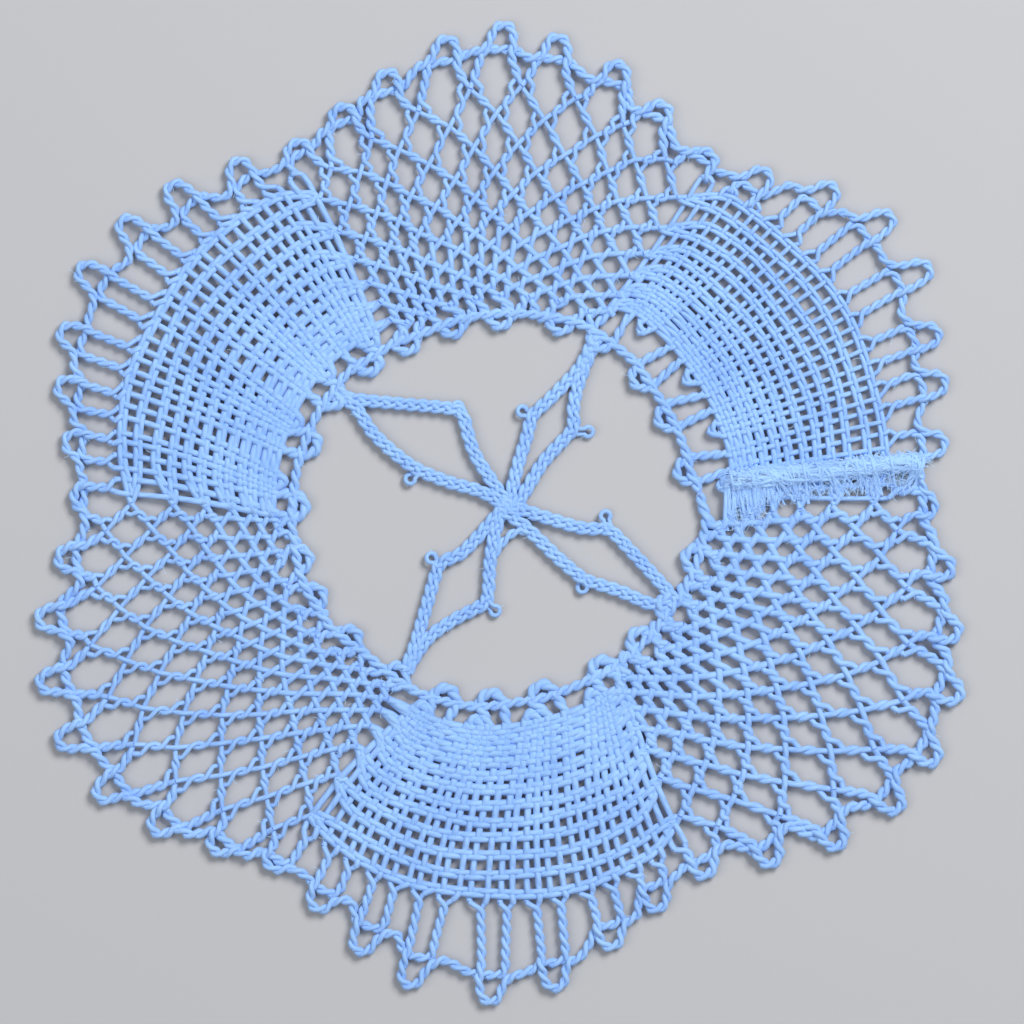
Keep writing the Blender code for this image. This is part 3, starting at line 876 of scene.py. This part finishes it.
def maths(tree, kind, a, b=None):
    node = tree.nodes.new("ShaderNodeMath")
    node.operation = kind
    for socket, value in zip(node.inputs, (a, b)):
        if isinstance(value, (int, float)):
            socket.default_value = value
        elif value is not None:
            tree.links.new(value, socket)
    return node.outputs[0]


def twistGroup():
    # two plies twisted together, with the seam between them running round the thread, and fibres; the groove of the
    # seam is painted darker, as painted shade, and the colour is blotched at random
    group = bpy.data.node_groups.new("threadTwist", "ShaderNodeTree")
    for name in ("UV", "Object"):
        group.interface.new_socket(name=name, in_out="INPUT", socket_type="NodeSocketVector")
    for name in ("Twist Length", "Blotches", "Fibres"):
        group.interface.new_socket(name=name, in_out="INPUT", socket_type="NodeSocketFloat")
    for name in ("Shade", "Height"):
        group.interface.new_socket(name=name, in_out="OUTPUT", socket_type="NodeSocketFloat")
    given, put = addNode(group, "NodeGroupInput"), addNode(group, "NodeGroupOutput")
    split = addNode(group, "ShaderNodeSeparateXYZ")
    group.links.new(given.outputs["UV"], split.inputs[0])
    along = maths(group, "DIVIDE", split.outputs[0], given.outputs["Twist Length"])
    turn = maths(group, "ADD", along, maths(group, "MULTIPLY", split.outputs[1], 2.0))
    seam = maths(group, "ABSOLUTE", maths(group, "SINE", maths(group, "MULTIPLY", turn, math.pi)))
    blotches = addNode(group, "ShaderNodeTexNoise", Scale=twist["blotchScale"], Detail=3)
    fibres = addNode(group, "ShaderNodeTexNoise", Scale=twist["fibreScale"], Detail=2)
    for node in (blotches, fibres):
        group.links.new(given.outputs["Object"], node.inputs["Vector"])
    # Shade is painted shade in the seam's groove plus random blotches of tone; Height is the seam's groove and the
    # fibres, for the bump
    for outcome, share, node, amount in (("Shade", twist["seamPaintedShade"], blotches, "Blotches"),
                                         ("Height", twist["seamHeight"], fibres, "Fibres")):
        seen = maths(group, "MULTIPLY", node.outputs["Fac"], given.outputs[amount])
        total = maths(group, "ADD", maths(group, "MULTIPLY", seam, share), seen)
        group.links.new(total, put.inputs[outcome])
    return group


def threadMaterial(name, group, look):
    material = bpy.data.materials.new(name)
    material.use_nodes = True
    tree = material.node_tree
    links, shader = tree.links, tree.nodes["Principled BSDF"]
    shader.inputs["Roughness"].default_value = look["roughness"]
    shader.inputs["Sheen Weight"].default_value = look["sheen"]
    shader.inputs["Sheen Roughness"].default_value = 0.5
    uv, coordinates = addNode(tree, "ShaderNodeUVMap"), addNode(tree, "ShaderNodeTexCoord")
    uv.uv_map = "UVMap"
    twisted = addNode(tree, "ShaderNodeGroup")
    twisted.node_tree = group
    links.new(uv.outputs["UV"], twisted.inputs["UV"])
    links.new(coordinates.outputs["Object"], twisted.inputs["Object"])
    for socket, value in look["sockets"].items():
        twisted.inputs[socket].default_value = value
    # the ramp's dark end colours both the painted shade in the seam's groove and the darker blotches
    ramp = addNode(tree, "ShaderNodeValToRGB")
    for element, position, colour in zip(ramp.color_ramp.elements, (0.15, 0.8), (look["dark"], look["light"])):
        element.position = position
        element.color = colour + (1,)
    links.new(twisted.outputs["Shade"], ramp.inputs[0])
    links.new(ramp.outputs[0], shader.inputs["Base Color"])
    bump = addNode(tree, "ShaderNodeBump", Distance=twist["depth"], Strength=look["relief"])
    links.new(twisted.outputs["Height"], bump.inputs["Height"])
    links.new(bump.outputs["Normal"], shader.inputs["Normal"])
    return material


# meshes
def makePiece(name, material):
    lines = strands[name]
    curve = bpy.data.curves.new(name, "CURVE")
    curve.dimensions = "3D"
    curve.bevel_depth = mm
    curve.bevel_resolution = 1
    curve.use_fill_caps = True
    for points, radius in lines:
        spline = curve.splines.new("POLY")
        spline.points.add(len(points) - 1)
        flat = np.ones((len(points), 4))
        flat[:, :3] = points * mm
        spline.points.foreach_set("co", flat.ravel())
        # net and cloth are beaten closer towards the middle, and their threads lie flatter and wider
        away = np.hypot(points[:, 0] - ring["centre"][0], points[:, 1] - ring["centre"][1])
        swell = 0 * away
        if name.startswith(("net", "cloth")):
            swell = thread["swell"] * np.clip((thread["swellFrom"] - away) / thread["swellOver"], 0, 1)
        spline.points.foreach_set("radius", radius * (1 + swell))
    tube = bpy.data.objects.new(name + "Line", curve)
    bpy.context.scene.collection.objects.link(tube)
    bpy.context.view_layer.update()
    mesh = bpy.data.meshes.new_from_object(tube.evaluated_get(bpy.context.evaluated_depsgraph_get()))
    bpy.data.objects.remove(tube)
    mesh.name = name
    # U becomes the real length along each thread, in millimetres
    layer = mesh.uv_layers[0].data
    uv = np.zeros(2 * len(layer))
    layer.foreach_get("uv", uv)
    uv = uv.reshape(-1, 2)
    at = 24 * len(lines)          # the two caps of a thread are 8 triangles, and come first
    for points, radius in lines:
        count = (len(points) - 1) * 24
        run = lengthsAlong(points)
        index = np.rint(uv[at:at + count, 0] * (len(points) - 1)).astype(int)
        uv[at:at + count, 0] = run[index]
        at += count
    layer.foreach_set("uv", uv.ravel())
    mesh.materials.clear()
    mesh.materials.append(material)
    piece = bpy.data.objects.new(name, mesh)
    bpy.context.scene.collection.objects.link(piece)
    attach(piece, "root")
    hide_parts("lace")
    print(name, len(lines), "threads,", sum(len(p.vertices) - 2 for p in mesh.polygons), "triangles")
    return piece


buildEdge()
for index, fan in enumerate(fans):
    if fan["ground"] == "cloth":
        buildCloth(index)
    else:
        buildNet(index)
        buildNetTurns(index)
buildInnerEdge()
buildCross()
buildJoin()
buildHairs()
print("threads laid:", sum(len(group) for group in strands.values()))
group = twistGroup()
materials = {name: threadMaterial(name, group, look) for name, look in looks.items()}
pieces = {name: makePiece(name, materials[lookOf.get(name, "laceThread")]) for name in strands}

# floor, light and camera, in metres
stage = {"floor": (0.47, 0.47, 0.48), "halfFloor": 1.5,
         "lights": {"keyLight": ((0.25, 0.28, 0.45), 0.25, 3.1), "fillLight": ((-0.3, -0.1, 0.5), 0.5, 1.1)},
         "sky": (0.9, 0.94, 1.0), "skyStrength": 0.32,
         # the camera looks straight down from this far above the lace, at a field this wide
         "camera": (0.001065, 0.00012, 0.5006), "away": 0.5, "field": 0.09728}


def buildStage():
    half = stage["halfFloor"]
    mesh = bpy.data.meshes.new("floor")
    mesh.from_pydata([(-half, -half, 0), (half, -half, 0), (half, half, 0), (-half, half, 0)], [],
                     [(0, 1, 2, 3)])
    floor = bpy.data.objects.new("floor", mesh)
    bpy.context.scene.collection.objects.link(floor)
    material = bpy.data.materials.new("floorPaper")
    material.use_nodes = True
    shader = material.node_tree.nodes["Principled BSDF"]
    shader.inputs["Base Color"].default_value = stage["floor"] + (1,)
    shader.inputs["Roughness"].default_value = 0.95
    mesh.materials.append(material)

    for name, (spot, size, power) in stage["lights"].items():
        light = bpy.data.lights.new(name, "AREA")
        light.size = size
        light.energy = power
        holder = bpy.data.objects.new(name, light)
        holder.location = spot
        holder.rotation_euler = (-Vector(spot)).to_track_quat("-Z", "Y").to_euler()
        bpy.context.scene.collection.objects.link(holder)
    world = bpy.data.worlds.new("studio")
    world.use_nodes = True
    world.node_tree.nodes["Background"].inputs[0].default_value = stage["sky"] + (1,)
    world.node_tree.nodes["Background"].inputs[1].default_value = stage["skyStrength"]
    bpy.context.scene.world = world
    bpy.context.scene.view_settings.view_transform = "Standard"

    camera = bpy.data.cameras.new("camera")
    camera.sensor_width = 36
    camera.lens = camera.sensor_width * stage["away"] / stage["field"]
    camera.clip_start = 0.01
    camera.clip_end = 10
    holder = bpy.data.objects.new("camera", camera)
    holder.location = stage["camera"]
    bpy.context.scene.collection.objects.link(holder)
    bpy.context.scene.camera = holder
    print("floor, light and camera set")


buildStage()
